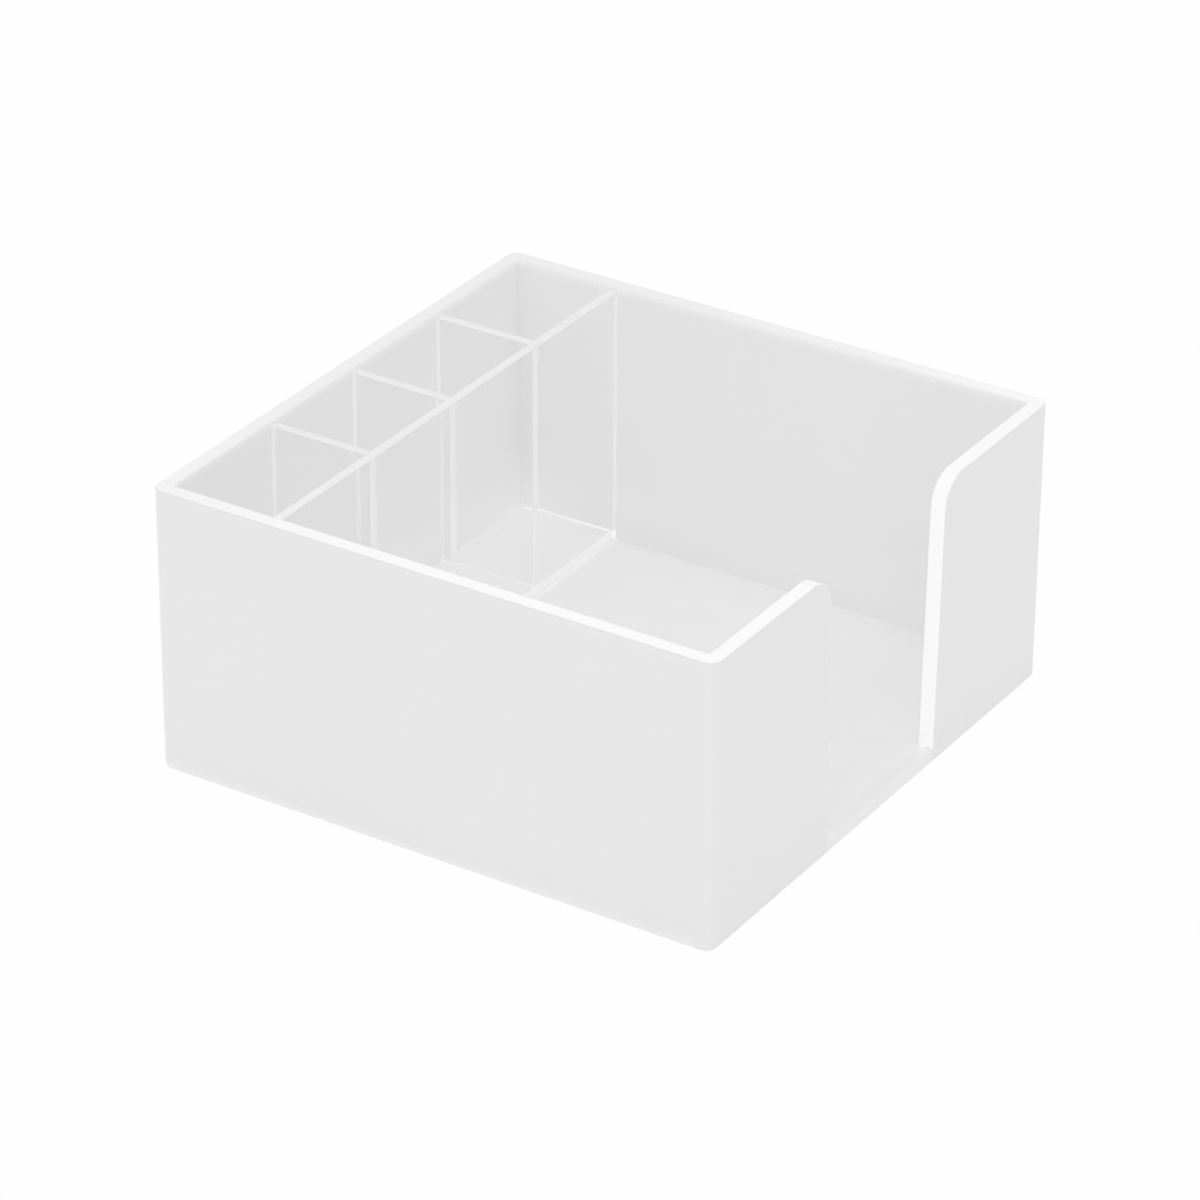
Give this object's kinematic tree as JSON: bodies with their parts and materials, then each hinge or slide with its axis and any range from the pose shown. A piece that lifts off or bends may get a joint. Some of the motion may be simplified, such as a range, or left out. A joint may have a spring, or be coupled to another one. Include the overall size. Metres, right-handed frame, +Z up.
{
  "type": "memo paper holder",
  "caption": "Low square open-topped holder for memo paper with a finger cut-out down to the floor in its side wall, and a clear lift-out insert of small cells along the opposite wall.",
  "frame": {"origin": "centre of the case's footprint, on the surface that it stands on", "axes": "+Z up; +X towards the wall with the finger cut-out; -Y is the front wall"},
  "size_m": [0.12, 0.12, 0.0585],
  "materials": {
    "white_acrylic": "gloss",
    "clear_acrylic": "gloss"
  },
  "bodies": {
    "case": {"base_panel": "white_acrylic", "front_panel": "white_acrylic", "back_panel": "white_acrylic", "left_panel": "white_acrylic", "cutout_panel": "white_acrylic"},
    "insert": {"insert_floor": "clear_acrylic", "long_divider": "clear_acrylic", "cross_divider_1": "clear_acrylic", "cross_divider_2": "clear_acrylic", "cross_divider_3": "clear_acrylic"}
  },
  "joints": [
    {"name": "insert_lift", "type": "slide", "parent": "case", "child": "insert", "axis": [0, 0, 1], "range_m": [0, 0.06]}
  ]
}
